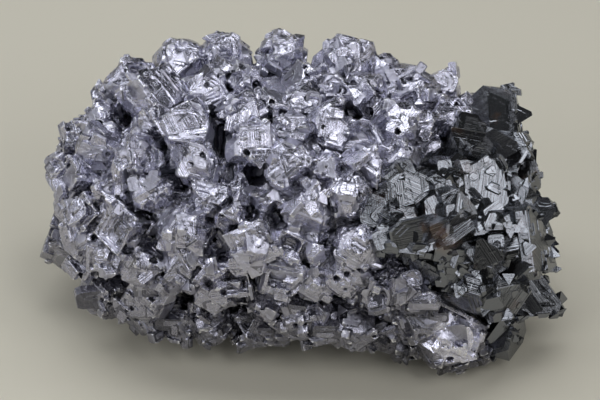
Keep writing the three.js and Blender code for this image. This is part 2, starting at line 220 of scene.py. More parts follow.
# %% One facet
class Facet:
    """One flat face of a crystal: its plane, its triangles, its outline edges and their directions."""

    def __init__(self, points, triangles, members, normals, areas):
        self.corners = points[triangles[members]]
        self.areas = areas[members]
        self.area = float(self.areas.sum())
        weights = self.areas[:, None]
        total = (normals[members] * weights).sum(0)
        self.normal = total / max(np.linalg.norm(total), 1e-12)
        self.centre = (self.corners.mean(1) * weights).sum(0) / max(self.area, 1e-12)
        self.outline = []

    def settle(self):
        """Picks the direction along the outline, and whether it is three-sided or four-sided by nature."""
        spans = np.array([b - a for a, b in self.outline])
        spans -= np.outer(spans @ self.normal, self.normal)
        lengths = np.linalg.norm(spans, axis=1)
        longest = spans[np.argmax(lengths)]
        self.along = longest / max(np.linalg.norm(longest), 1e-9)
        self.aside = np.cross(self.normal, self.along)
        angles = np.arctan2(spans @ self.aside, spans @ self.along)
        three = abs(np.sum(lengths * np.exp(6j * angles)))
        four = abs(np.sum(lengths * np.exp(8j * angles)))
        self.three_sided = bool(three > four)

    def point(self, random):
        """A random point of the facet."""
        pick = random.choice(len(self.areas), p=self.areas / self.areas.sum())
        u, v = random.random(2)
        if u + v > 1:
            u, v = 1 - u, 1 - v
        a, b, c = self.corners[pick]
        return a + u * (b - a) + v * (c - a)


# %% Reading facets
def read_facets(points, triangles, smallest):
    """The facets of a closed triangle mesh that are at least the smallest area."""
    normals, areas = triangle_normals(points, triangles)
    labels, edges, left, right = facet_labels(points, triangles, normals, areas)
    order = np.argsort(labels, kind="stable")
    starts = np.searchsorted(labels[order], np.arange(labels.max() + 2))
    facets = {}
    for number in range(labels.max() + 1):
        members = order[starts[number]:starts[number + 1]]
        if areas[members].sum() >= smallest:
            facets[number] = Facet(points, triangles, members, normals, areas)
    border = labels[left] != labels[right]
    for (i, j), a, b in zip(edges[border], labels[left][border], labels[right][border]):
        for number in (a, b):
            if number in facets:
                facets[number].outline.append((points[i], points[j]))
    kept = [facet for facet in facets.values() if len(facet.outline) >= 3]
    for facet in kept:
        facet.settle()
    return kept


galena_points, galena_triangles = welded_triangles("galena")
galena_facets = read_facets(galena_points, galena_triangles, smallest=1.0)
print("galena facets:", len(galena_facets), "of", len(galena_triangles), "triangles")
print("three-sided:", sum(facet.three_sided for facet in galena_facets))

# %% [markdown]
# ## Plates, blocks and pits
#
# Galena of this kind is skeletal: layers start at the edges of a face and do not close over its
# middle, so faces carry stepped plates, raised rims and square pits. Sculpting or displacement would
# round these steps off. Each plate is therefore a small convex solid with crystal slopes, and one
# boolean union joins a few thousand of them with the crystal they grew on.

# %% Convex solids from straight cuts
def clipped_polygon(lines):
    """The polygon inside straight lines (angle, distance), as the ordered line numbers and corners."""
    reach = 60.0
    polygon = [((-reach, -reach), -1), ((reach, -reach), -1), ((reach, reach), -1), ((-reach, reach), -1)]
    for number, (angle, distance) in enumerate(lines):
        nx, ny = math.cos(angle), math.sin(angle)
        kept = []
        for k in range(len(polygon)):
            (p, own), (q, _) = polygon[k], polygon[(k + 1) % len(polygon)]
            dp, dq = p[0] * nx + p[1] * ny - distance, q[0] * nx + q[1] * ny - distance
            if dp <= 0:
                kept.append((p, own))
            if (dp <= 0) != (dq <= 0):
                t = dp / (dp - dq)
                cut = (p[0] + t * (q[0] - p[0]), p[1] + t * (q[1] - p[1]))
                kept.append((cut, own if dp > 0 else number))
        polygon = kept
        if len(polygon) < 3:
            return [], []
    return [own for _, own in polygon], [p for p, _ in polygon]


def crossing(a1, d1, a2, d2):
    """The point where two lines meet, each given by the angle of its normal and its distance."""
    det = math.sin(a2 - a1)
    x = (d1 * math.sin(a2) - d2 * math.sin(a1)) / det
    y = (d2 * math.cos(a1) - d1 * math.cos(a2)) / det
    return x, y


def frustum(lines, slopes, base, top):
    """Corners and faces of a solid between two heights whose side i leans in by slopes[i]."""
    order, upper = clipped_polygon([(a, d - s * top) for (a, d), s in zip(lines, slopes)])
    if len(upper) < 3 or -1 in order:
        return None
    lower = []
    count = len(order)
    for k in range(count):
        first, second = order[k - 1], order[k]
        (a1, d1), (a2, d2) = lines[first], lines[second]
        if abs(math.sin(a2 - a1)) < 1e-6:
            return None
        lower.append(crossing(a1, d1 - slopes[first] * base, a2, d2 - slopes[second] * base))
    for k in range(count):
        p, q = lower[k], lower[(k + 1) % count]
        angle = lines[order[k]][0]
        if (q[0] - p[0]) * -math.sin(angle) + (q[1] - p[1]) * math.cos(angle) < 0.02:
            return None
    corners = [(x, y, top) for x, y in upper] + [(x, y, base) for x, y in lower]
    faces = [tuple(range(count)), tuple(reversed(range(count, 2 * count)))]
    for k in range(count):
        n = (k + 1) % count
        faces.append((k, count + k, count + n, n))
    return np.array(corners), faces


square = [(i * math.pi / 2, 1.0) for i in range(4)]
print("a square plate has", len(frustum(square, [0] * 4, 0, 1)[0]), "corners")


# %% Joining and cutting many small solids at once
def mesh_piece(name, corners, faces):
    """A mesh object from corners in millimetres."""
    mesh = bpy.data.meshes.new(name)
    mesh.from_pydata((corners / MM).tolist(), [], faces)
    piece = bpy.data.objects.new(name, mesh)
    bpy.context.scene.collection.objects.link(piece)
    return piece


def triangle_count(mesh):
    """How many triangles the faces of a mesh make."""
    return len(mesh.loops) - 2 * len(mesh.polygons)


def applied(piece):
    """Replaces the mesh of a piece by what its modifiers make of it, and returns its triangle count."""
    evaluated = piece.evaluated_get(bpy.context.evaluated_depsgraph_get())
    piece.data = bpy.data.meshes.new_from_object(evaluated)
    piece.modifiers.clear()
    return triangle_count(piece.data)


def combine(piece, solids, operation):
    """Joins a batch of small closed solids to a piece, or cuts them from it, in one boolean."""
    batch = bpy.data.collections.new("batch")
    bpy.context.scene.collection.children.link(batch)
    for corners, faces in solids:
        mesh = bpy.data.meshes.new("bit")
        mesh.from_pydata((corners / MM).tolist(), [], faces)
        batch.objects.link(bpy.data.objects.new("bit", mesh))
    modifier = piece.modifiers.new("batch", "BOOLEAN")
    modifier.operation = operation
    modifier.operand_type = "COLLECTION"
    modifier.collection = batch
    modifier.solver = "MANIFOLD"
    count = applied(piece)
    bits = list(batch.objects)
    bpy.data.batch_remove(bits + [bit.data for bit in bits])
    bpy.data.collections.remove(batch)
    return count


# %% Loose crumbs
def drop_crumbs(piece):
    """Deletes loose crumbs, so that the piece is one connected body again."""
    mesh = piece.data
    ends = column(mesh.edges, "vertices", 2, np.int32)
    label = np.arange(len(mesh.vertices))
    while True:
        low = np.minimum(label[ends[:, 0]], label[ends[:, 1]])
        lowered = label.copy()
        np.minimum.at(lowered, ends[:, 0], low)
        np.minimum.at(lowered, ends[:, 1], low)
        lowered = lowered[lowered]
        if np.array_equal(lowered, label):
            break
        label = lowered
    bodies, counts = np.unique(label, return_counts=True)
    crumbs = np.nonzero(label != bodies[np.argmax(counts)])[0]
    work = bmesh.new()
    work.from_mesh(mesh)
    work.verts.ensure_lookup_table()
    bmesh.ops.delete(work, geom=[work.verts[i] for i in crumbs.tolist()], context="VERTS")
    work.to_mesh(mesh)
    work.free()
    return len(bodies) - 1


# %% Growth on a facet
random = np.random.default_rng(7)
OCTA_TO_OCTA = 0.354
OCTA_TO_CUBE = 0.708


def on_facet(facet, at, local):
    """Local corners (along, aside, out) as corners in the frame, with the origin at a point of the facet."""
    return at + local @ np.array([facet.along, facet.aside, facet.normal])


def plate_sides(facet, size, flip):
    """Side lines and slopes of a plate: a triangle with cut tips, or a rectangle with cut corners."""
    lines, slopes = [], []
    if facet.three_sided:
        for k in range(3):
            lines.append((flip + math.pi / 2 + k * 2 * math.pi / 3, size * random.uniform(0.45, 1.0)))
            slopes.append(OCTA_TO_OCTA)
            lines.append((flip - math.pi / 2 + k * 2 * math.pi / 3, size * random.uniform(0.7, 1.5)))
            slopes.append(OCTA_TO_CUBE)
    else:
        for k in range(4):
            lines.append((k * math.pi / 2, size * random.uniform(0.5, 1.2)))
            slopes.append(0.04)
            if random.random() < 0.5:
                lines.append(((k + 0.5) * math.pi / 2, size * random.uniform(0.8, 1.3)))
                slopes.append(OCTA_TO_CUBE)
    return lines, slopes


# %% Small crystal forms
def faces_between(corners, planes):
    """The faces of a convex form whose corners lie on the given planes, each ordered round its normal."""
    faces = []
    for normal in planes:
        normal = np.array(normal, float)
        reach = corners @ normal
        found = np.nonzero(reach > reach.max() - 1e-4)[0]
        middle = corners[found].mean(0)
        first = corners[found[0]] - middle
        second = np.cross(normal / np.linalg.norm(normal), first)
        angles = [math.atan2((corners[i] - middle) @ second, (corners[i] - middle) @ first) for i in found]
        faces.append(tuple(int(i) for i in found[np.argsort(angles)]))
    return faces


CUBE_WAYS = [(1, 0, 0), (-1, 0, 0), (0, 1, 0), (0, -1, 0), (0, 0, 1), (0, 0, -1)]
OCTA_WAYS = [(a, b, c) for a in (1, -1) for b in (1, -1) for c in (1, -1)]


def cut_cube(cut):
    """A cube of half width 1 whose corners are taken off by an octahedron."""
    if cut < 2:
        tips = [(1, s * (cut - 1), 0) for s in (1, -1)]
    else:
        tips = [(1, a, b * (cut - 2)) for a in (1, -1) for b in (1, -1)]
    corners = set()
    for tip in tips:
        for sign in (1, -1):
            x, y, z = sign * tip[0], tip[1], tip[2]
            corners |= {(x, y, z), (x, z, y), (y, x, z), (z, x, y), (y, z, x), (z, y, x)}
    corners = np.array(sorted({tuple(round(v, 6) for v in corner) for corner in corners}))
    return corners, faces_between(corners, CUBE_WAYS + OCTA_WAYS)


def cut_tetrahedron(share):
    """A tetrahedron whose four tips are taken off by a share of its edges."""
    low = 1 - 2 * share
    corners = set()
    for x, y, z in ((1, low, low), (low, 1, low), (low, low, 1)):
        corners |= {(x, y, z), (x, -y, -z), (-x, y, -z), (-x, -y, z)}
    corners = np.array(sorted(corners))
    return corners, faces_between(corners, OCTA_WAYS)


BLOCK_FORMS = [cut_cube(cut) for cut in (1.2, 1.35, 2.5, 2.7)]
TIP_FORMS = [cut_tetrahedron(share) for share in (0.08, 0.15, 0.22)]
ALONG_OCTA = np.array([1, -1, 0]) / math.sqrt(2)
ASIDE_OCTA = np.array([1, 1, -2]) / math.sqrt(6)
OUT_OCTA = np.array([1, 1, 1]) / math.sqrt(3)


def block(facet, at, size, forms):
    """A small crystal that lies parallel to the crystal whose facet it grows on."""
    corners, faces = forms[random.integers(len(forms))]
    if facet.three_sided:
        local = corners @ np.array([ALONG_OCTA, ASIDE_OCTA, OUT_OCTA]).T
    else:
        local = corners
    return on_facet(facet, at, local * size), faces


print("block corners:", [len(corners) for corners, _ in BLOCK_FORMS])

# %% [markdown]
# ## Galena
#
# Larger faces first get a recess with a rim, as in a hopper crystal. Then plates with stepped heights
# and small parallel blocks are joined on, and pits are cut last, so that they go through the plates.

# %% Outlines of growth layers
def hull_lines(facet, at):
    """The lines of a facet's outer outline, as angle and distance from a point of the facet."""
    ends = np.array([p for edge in facet.outline for p in edge]) - at
    flat = np.unique(np.round(np.stack([ends @ facet.along, ends @ facet.aside], axis=1), 4), axis=0)
    flat = flat[np.lexsort((flat[:, 1], flat[:, 0]))].tolist()

    def half_hull(points):
        chain = []
        for p in points:
            while len(chain) > 1:
                (ax, ay), (bx, by) = chain[-2], chain[-1]
                if (bx - ax) * (p[1] - ay) - (by - ay) * (p[0] - ax) > 1e-6:
                    break
                chain.pop()
            chain.append(p)
        return chain[:-1]

    hull = half_hull(flat) + half_hull(flat[::-1])
    lines = []
    for (x1, y1), (x2, y2) in zip(hull, hull[1:] + hull[:1]):
        length = math.hypot(x2 - x1, y2 - y1)
        if length > 0.4:
            nx, ny = (y2 - y1) / length, -(x2 - x1) / length
            lines.append((math.atan2(ny, nx), nx * x1 + ny * y1))
    return sorted(lines)


def rounded_corners(lines, cut):
    """The same outline with each corner taken off by one more line."""
    rounded = list(lines)
    for (a1, d1), (a2, d2) in zip(lines, lines[1:] + lines[:1]):
        if abs(math.sin(a2 - a1)) < 0.2:
            continue
        x, y = crossing(a1, d1, a2, d2)
        middle = math.atan2(math.sin(a1) + math.sin(a2), math.cos(a1) + math.cos(a2))
        reach = x * math.cos(middle) + y * math.sin(middle)
        rounded.append((middle, reach - cut * random.uniform(0.4, 1.0)))
    return sorted(rounded)


# %% Layer stacks and stripes
def layer_stack(facet, levels, rise, run, corner_cut=0.7):
    """Layers that follow a facet's outline: raised steps for a rise above zero, a stepped hopper below."""
    lines = hull_lines(facet, facet.centre)
    pace = [random.uniform(0.25, 1.3) for _ in lines]
    lean = random.uniform(0.2, 0.9)
    solids = []
    for level in range(1, levels + 1):
        inset = [(angle, distance - run * level * share) for (angle, distance), share in zip(lines, pace)]
        outline = rounded_corners(inset, corner_cut * random.uniform(0.5, 1.6)) if corner_cut else inset
        if rise > 0:
            solid = frustum(outline, [lean] * len(outline), -0.5, rise * level)
            solid = solid or frustum(outline, [0] * len(outline), -0.5, rise * level)
        else:
            solid = frustum(outline, [-lean] * len(outline), rise * level, 0.5)
            solid = solid or frustum(outline, [0] * len(outline), rise * level, 0.5)
        if not solid:
            break
        solids.append((on_facet(facet, facet.centre, solid[0]), solid[1]))
    return solids


def stripes(facet, pitches=(0.6, 0.9), heights=(0.12, 0.3)):
    """Thin parallel ridges across a facet, as growth striation leaves them."""
    lines = hull_lines(facet, facet.centre)
    turn = math.pi / 3 * random.integers(3) if facet.three_sided else math.pi / 2 * random.integers(2)
    reach = max(distance for _, distance in lines)
    pitch = random.uniform(*pitches)
    solids = []
    for place in np.arange(-reach, reach, pitch):
        ridge = [(angle, distance - 0.3) for angle, distance in lines]
        ridge.append((turn + math.pi / 2, place + pitch * random.uniform(0.2, 0.34)))
        ridge.append((turn - math.pi / 2, -place + pitch * random.uniform(0.2, 0.34)))
        ridge.append((turn, reach * random.uniform(0.1, 1.0)))
        ridge.append((turn + math.pi, reach * random.uniform(0.1, 1.0)))
        solid = frustum(ridge, [0.25] * len(ridge), -0.3, random.uniform(*heights))
        if solid:
            solids.append((on_facet(facet, facet.centre, solid[0]), solid[1]))
    return solids


# %% Galena relief
PLATE_PER_AREA = 1 / 12.0
BLOCK_PER_AREA = 1 / 90.0
PIT_PER_AREA = 1 / 60.0
LAYERS_FROM = 7.0


def shown_weight(facet):
    """Full detail on the display side and top, less on the back and below, none on the resting foot."""
    if facet.normal[2] < -0.5:
        return 0.0 if facet.centre[2] < 1.0 else 0.25
    return 1.0 if facet.normal[1] < 0.3 else 0.5


recesses, growth, pits = [], [], []
for facet in galena_facets:
    weight = shown_weight(facet)
    if weight == 0:
        continue
    flip = math.pi * random.integers(2)
    step = random.uniform(0.18, 0.36)
    width = math.sqrt(facet.area)
    kind = random.random()
    if facet.area > LAYERS_FROM:
        levels = int(min(3, 1 + facet.area // 16))
        if kind < 0.33:
            recesses += layer_stack(facet, levels, -random.uniform(0.35, 0.7), random.uniform(0.6, 1.0))
        elif kind < 0.72:
            growth += layer_stack(facet, levels, random.uniform(0.25, 0.5), random.uniform(0.5, 0.9))
        elif kind < 0.80:
            growth += stripes(facet)
    for _ in range(random.poisson(facet.area * PLATE_PER_AREA * weight)):
        size = min(0.5 * width, random.uniform(0.9, 3.0))
        lines, slopes = plate_sides(facet, size, flip)
        solid = frustum(lines, slopes, -0.7, step * random.integers(1, 5))
        if solid:
            growth.append((on_facet(facet, facet.point(random), solid[0]), solid[1]))
    for _ in range(random.poisson(facet.area * BLOCK_PER_AREA * weight)):
        start, end = facet.outline[random.integers(len(facet.outline))]
        at = start + (end - start) * random.random()
        growth.append(block(facet, at, random.uniform(0.6, 1.6), BLOCK_FORMS))
    for _ in range(random.poisson(facet.area * PIT_PER_AREA * weight)):
        sides = 3 if facet.three_sided and random.random() < 0.4 else random.choice([4, 4, 8])
        size = random.uniform(0.35, 0.95)
        turn = random.uniform(0, 6.28) if sides == 8 else flip + math.pi / 2
        lines = [(turn + k * 2 * math.pi / sides, size * random.uniform(0.7, 1.15)) for k in range(sides)]
        solid = frustum(lines, [-random.uniform(0.05, 0.3)] * sides, -random.uniform(0.7, 1.8), 1.6)
        if solid:
            pits.append((on_facet(facet, facet.point(random), solid[0]), solid[1]))

galena = mesh_piece("galena_crystals", galena_points, galena_triangles.tolist())
print("recesses, plates and blocks, pits:", len(recesses), len(growth), len(pits))
print("triangles after recesses:", combine(galena, recesses, "DIFFERENCE"))
print("triangles after growth:", combine(galena, growth, "UNION"))
print("triangles after pits:", combine(galena, pits, "DIFFERENCE"))

# %% [markdown]
# ## Large faces of the display side
#
# Some single faces catch the eye: satin plates on the upper left, a leaning bright crystal in the
# middle, flat lavender faces on the left flank. Their places are given as millimetres across and up
# from the middle of the view, and a sight line through that place finds the crystal behind it. Each
# face is the top of a thick plate that is set into that crystal and looks in a chosen direction. A row
# holds its place, half width, half height, turn, direction and number of sides. The low ones, in the
# shade, are the sharpest on the real specimen, so they are left for the crisp plates further on.

# %% Plates placed along the sight line
from types import SimpleNamespace

from mathutils.bvhtree import BVHTree

picture_right = Vector((1, 0, 0))
picture_up = toward_camera.cross(picture_right)
FACING = {
    "sky": (-0.04, -0.43, 0.90),
    "right_light": (0.23, -0.73, 0.63),
    "left_light": (-0.32, -0.75, 0.57),
    "far_left": (-0.58, -0.56, 0.60),
    "room": (0.05, -0.92, 0.38),
    "paper": (0.05, -0.99, -0.06),
    "lit_paper": (0.05, -0.97, 0.20),
    "high_gap": (0.02, -0.60, 0.80),
}
CRISP_BELOW = -18.0
GALENA_FACES = [
    [-27.5, 18.0, 5.6, 5.2, 10, "sky", "four"],
    [-42.0, 26.5, 3.0, 3.4, 20, "right_light", "three"],
    [-30.0, 35.5, 3.6, 3.2, -15, "sky", "three"],
    [-18.8, 38.0, 3.4, 3.0, 25, "right_light", "four"],
    [-24.0, 27.0, 3.6, 2.0, 5, "sky", "four"],
    [-44.5, 9.0, 2.6, 2.0, -10, "sky", "three"],
    [-48.0, 18.2, 2.4, 1.6, 15, "sky", "four"],
    [-13.8, 21.5, 3.8, 3.0, 40, "left_light", "three"],
    [-13.5, 13.0, 3.4, 3.2, 15, "right_light", "four"],
    [-1.2, 24.0, 3.0, 2.6, 0, "right_light", "four"],
    [-3.5, 38.0, 3.4, 2.6, 20, "left_light", "three"],
    [11.5, 36.5, 4.2, 3.8, 30, "right_light", "three"],
    [15.0, 27.5, 3.8, 2.2, -8, "sky", "three"],
    [28.0, 30.0, 3.8, 3.0, 25, "sky", "four"],
    [36.0, 30.0, 3.4, 2.8, -20, "right_light", "four"],
    [24.5, 18.5, 3.4, 3.4, 12, "sky", "four"],
    [29.5, 17.0, 2.0, 5.6, 12, "room", "three"],
    [37.0, 21.0, 2.8, 2.8, 30, "right_light", "three"],
    [-2.0, 9.5, 5.4, 2.6, 18, "sky", "four"],
    [8.0, 15.0, 3.2, 2.8, 45, "right_light", "three"],
    [18.5, 9.0, 3.0, 2.8, 20, "sky", "three"],
    [11.5, 2.5, 3.6, 3.0, -10, "sky", "four"],
    [2.5, -1.2, 3.6, 3.2, 35, "right_light", "three"],
    [2.5, -10.0, 2.8, 2.4, 10, "left_light", "four"],
    [-10.8, -9.0, 3.0, 4.2, 5, "right_light", "four"],
    [-3.0, -16.5, 5.4, 1.8, -12, "sky", "four"],
    [-28.8, -6.5, 3.8, 3.4, 30, "left_light", "three"],
    [-27.5, -14.0, 3.4, 3.0, 0, "right_light", "three"],
    [-22.0, 1.5, 2.6, 2.4, 25, "sky", "four"],
    [-38.5, 3.5, 3.6, 2.8, -15, "left_light", "three"],
    [-56.0, -2.0, 3.6, 3.2, 25, "far_left", "four"],
    [-50.0, -1.5, 3.0, 3.4, 25, "far_left", "four"],
    [-54.5, -9.5, 3.4, 2.6, 25, "far_left", "four"],
    [-61.5, 6.8, 2.2, 1.8, 10, "far_left", "four"],
    [-47.5, -12.8, 4.2, 2.4, 8, "left_light", "four"],
    [-51.0, -25.0, 5.4, 3.8, 8, "paper", "four"],
    [-37.5, -22.5, 4.4, 2.4, 4, "room", "four"],
    [-31.0, -27.2, 1.6, 1.6, 10, "paper", "four"],
    [-32.0, -31.2, 6.0, 2.2, -4, "paper", "four"],
    [-1.8, -28.2, 2.6, 4.2, -14, "paper", "three"],
    [13.0, -28.0, 1.8, 1.8, 20, "paper", "three"],
    [7.0, -33.0, 6.0, 2.4, -6, "paper", "four"],
    [20.0, -32.5, 3.6, 3.4, 30, "room", "three"],
    [29.5, -27.5, 5.6, 2.6, 0, "room", "four"],
    [39.5, -34.0, 5.6, 4.6, 8, "lit_paper", "four"],
    [27.5, -20.0, 4.0, 3.0, 15, "room", "four"],
    [31.0, -24.5, 5.0, 1.8, -4, "sky", "four"],
    [25.0, -24.0, 2.8, 2.8, 35, "paper", "three"],
    [34.0, -29.5, 4.2, 2.0, 6, "paper", "four"],
    [23.5, -29.0, 3.0, 2.6, -20, "room", "four"],
    [26.5, -37.0, 2.4, 2.0, 10, "room", "three"],
    [32.5, -35.5, 2.8, 2.6, 25, "left_light", "three"],
    [36.0, -24.0, 3.0, 2.2, -12, "room", "four"],
    [19.0, -26.0, 3.0, 2.2, 12, "left_light", "four"],
    [16.5, -20.0, 2.8, 2.4, -25, "room", "three"],
    [-13.0, -29.5, 3.2, 2.0, 18, "room", "four"],
    [-19.5, -30.5, 2.6, 2.2, -10, "sky", "three"],
    [-8.5, -33.0, 3.0, 1.8, 5, "paper", "four"],
]


# %% Finding and shaping a plate
def solid_tree(points, triangles):
    """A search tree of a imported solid."""
    return BVHTree.FromPolygons((points / MM).tolist(), triangles.tolist())


def seen_point(tree, across, up):
    """Point and normal, in millimetres, of what is seen at a place of the picture."""
    through = LOOKED_AT + (picture_right * across + picture_up * up) / MM
    hit, normal, _, _ = tree.ray_cast(camera.location, through - camera.location)
    return (None, None) if hit is None else (np.array(hit) * MM, np.array(normal))


def turned_frame(facing, turn, spread):
    """Directions along, aside and out of a face that looks about one way and is turned in its plane."""
    out = Vector(facing) + Vector(random.normal(0, spread, 3))
    out.normalize()
    along = picture_right * math.cos(math.radians(turn)) + picture_up * math.sin(math.radians(turn))
    along = (along - out * along.dot(out)).normalized()
    return SimpleNamespace(along=np.array(along), aside=np.array(out.cross(along)), normal=np.array(out))


def shown_plate(aim, at, half_width, half_height, sides,
                rounding=0.28, levels=3, rises=(0.15, 0.35), depth=3.5):
    """A thick plate whose top rises in uneven layers, with outlines that are rounded by a share."""
    solids = []
    share, rise = 1.0, 0.0
    for _ in range(levels):
        rise += random.uniform(*rises)
        for _ in range(20):
            lines = []
            corners = 4 if sides == "four" else 3
            for k in range(corners):
                angle = k * 2 * math.pi / corners + (math.pi / 2 if sides == "three" else 0)
                reach = abs(half_width * math.cos(angle)) + abs(half_height * math.sin(angle))
                reach *= share * (0.62 if sides == "three" else 1.0)
                lines.append((angle, reach * random.uniform(0.7, 1.15)))
            for _ in range(2 if rounding else 0):
                lines = rounded_corners(sorted(lines), rounding * share * min(half_width, half_height))
            solid = frustum(sorted(lines), [random.uniform(0.0, 0.4)] * len(lines), -depth, rise)
            if solid:
                solids.append((on_facet(aim, at, solid[0]), solid[1]))
                break
        share *= random.uniform(0.66, 0.88)
        at = at + aim.along * half_width * random.uniform(-0.2, 0.2)
        at = at + aim.aside * half_height * random.uniform(-0.2, 0.2)
    return solids


# %% Joining the large faces
galena_tree = solid_tree(galena_points, galena_triangles)
shown = []
for across, up, half_width, half_height, turn, facing, sides in GALENA_FACES:
    at, _ = seen_point(galena_tree, across, up)
    if at is not None and up > CRISP_BELOW:
        shown += shown_plate(turned_frame(FACING[facing], turn, 0.11), at, half_width, half_height, sides)
print("large faces:", len(shown), "triangles:", combine(galena, shown, "UNION"))

# %% [markdown]
# ## Clefts and large pits
#
# Dark clefts run between the knobs of the display side, and some faces have large round pits. They
# are placed along the sight line too, so that each cut starts on the real surface.

# %% Cuts placed along the sight line
CLEFTS = [
    [-20.0, 15.2, 2.6, 9.0, -8],
    [13.0, 22.0, 5.0, 2.2, -28],
    [-10.5, 7.0, 6.0, 5.0, 25],
    [-32.0, 4.5, 9.0, 2.6, -30],
    [2.8, 35.8, 1.6, 6.0, 5],
]
LARGE_PITS = [
    [-40.8, 31.0, 0.8],
    [-24.3, 11.2, 0.9],
    [-27.5, 8.8, 0.8],
    [-13.3, 11.8, 1.0],
    [1.8, 25.5, 0.9],
    [24.3, 29.2, 0.9],
    [27.8, 29.8, 1.0],
    [33.0, 30.5, 0.8],
    [25.0, 17.0, 0.9],
    [-51.3, 2.0, 0.9],
    [-50.8, -3.2, 0.8],
    [-37.5, -3.8, 0.9],
    [-23.8, -11.5, 0.8],
]


# %% Cutting clefts and pits
def uneven_hole(aim, at, width, height, depth, taper, sides):
    """A hole with an uneven oval mouth that narrows inward; another mouth is tried if one can't close."""
    for _ in range(20):
        lines = []
        for k in range(sides):
            angle = (k + random.uniform(-0.25, 0.25)) * 2 * math.pi / sides
            reach = math.hypot(math.cos(angle) * width / 2, math.sin(angle) * height / 2)
            lines.append((angle, reach * random.uniform(0.85, 1.1)))
        solid = frustum(lines, [-taper] * sides, -depth, 4.0)
        if solid:
            return [(on_facet(aim, at, solid[0]), solid[1])]
    return []


cuts = []
for across, up, width, height, turn in CLEFTS:
    at, _ = seen_point(galena_tree, across, up)
    if at is None:
        continue
    aim = turned_frame(toward_camera, turn, 0)
    cuts += uneven_hole(aim, at, width, height, 6.0, min(width, height) / 24, 6)
for across, up, size in LARGE_PITS:
    at, normal = seen_point(galena_tree, across, up)
    if at is None:
        continue
    along = np.cross(normal, [0.3, 0.5, 0.8])
    along /= np.linalg.norm(along)
    aim = SimpleNamespace(along=along, aside=np.cross(normal, along), normal=normal)
    cuts += uneven_hole(aim, at, 1.7 * size, 1.3 * size, 1.6 * size, 0.15, 7)

SLAB_CORNERS = np.array([(x, y, z) for z in (-20, 0) for y in (-90, 90) for x in (-90, 90)], float)
SLAB_FACES = [(0, 2, 3, 1), (4, 5, 7, 6), (0, 1, 5, 4), (2, 6, 7, 3), (0, 4, 6, 2), (1, 3, 7, 5)]
below_the_foot = (SLAB_CORNERS, SLAB_FACES)
print("clefts and large pits:", len(cuts))
print("triangles after clefts:", combine(galena, cuts + [below_the_foot], "DIFFERENCE"))
print("loose crumbs dropped:", drop_crumbs(galena))

# %% [markdown]
# ## Sphalerite
#
# The black crystals are sharper than the galena: tetrahedra with thin straight layers, fine ridges
# and small crystals between the large ones. The same layers and ridges are used, without the rounded
# corners and with lower steps.

# %% Layers and ridges of the sphalerite
sphalerite_points, sphalerite_triangles = welded_triangles("sphalerite")
sphalerite_facets = read_facets(sphalerite_points, sphalerite_triangles, smallest=1.0)
layers = []
for facet in sphalerite_facets:
    if facet.centre[2] < 1.0 and facet.normal[2] < -0.9:
        continue
    flip = math.pi * random.integers(2)
    kind = random.random()
    if facet.area > 6.0:
        if kind < 0.3:
            levels = int(min(3, 1 + facet.area // 14))
            layers += layer_stack(facet, levels, random.uniform(0.12, 0.3), random.uniform(0.5, 1.4), 0)
        elif kind < 0.6:
            layers += stripes(facet, (0.35, 0.55), (0.04, 0.12))
    for _ in range(random.poisson(facet.area / 18.0)):
        size = min(0.5 * math.sqrt(facet.area), random.uniform(0.8, 2.4))
        lines, slopes = plate_sides(facet, size, flip)
        solid = frustum(lines, slopes, -0.6, random.uniform(0.15, 0.6))
        if solid:
            layers.append((on_facet(facet, facet.point(random), solid[0]), solid[1]))
    for _ in range(random.poisson(facet.area / 70.0)):
        start, end = facet.outline[random.integers(len(facet.outline))]
        at = start + (end - start) * random.random()
        layers.append(block(facet, at, random.uniform(0.7, 1.6), TIP_FORMS))
print("layers, ridges and small crystals:", len(layers))

# %% [markdown]
# ## Black faces and grey slabs
#
# Large glossy triangles stand at the top and the right of the black crystals, with small glints
# between them, and a band of grainy grey slabs crosses their middle. The large ones are placed one by
# one along the sight line. The band is a jittered grid of thick slabs that mostly look toward the same
# light, so that it reads as one broken face, and the glints are scattered at random.

# %% Places of black faces and slabs
BLACK_FACES = [
    [25.5, -9.5, 4.6, "room", 40],
    [11.5, -10.0, 3.0, "room", 10],
    [46.5, -13.5, 4.6, "room", 25],
    [52.5, -12.0, 5.2, "room", 55],
    [56.5, -25.5, 4.2, "room", 5],
    [49.5, 13.5, 5.6, "room", 30],
    [51.0, 21.0, 6.4, "high_gap", 35],
    [41.5, 15.0, 4.6, "room", 50],
    [41.5, -20.0, 4.4, "paper", 20],
    [50.5, -33.0, 4.4, "paper", 0],
    [58.0, 4.0, 2.8, "room", 35],
    [60.0, -6.0, 3.0, "paper", 15],
    [55.0, -7.0, 2.0, "right_light", 0],
    [57.0, -12.0, 2.0, "right_light", 40],
    [63.0, -13.8, 2.0, "sky", 10],
    [52.0, -19.5, 1.7, "right_light", 60],
    [61.2, -23.2, 1.8, "sky", 30],
]
BLACK_SLABS = [
    [35.5, -1.0, 4.6, 3.4, 25, "right_light", "four"],
    [38.5, -6.5, 4.2, 3.4, 38, "right_light", "four"],
    [47.5, -22.5, 3.2, 2.6, 15, "sky", "four"],
]
BAND_FACING = ["right_light"] * 4 + ["sky", "room"]
GLINT_FACING = ["sky", "right_light", "left_light", "room"]
GLINTS = 28

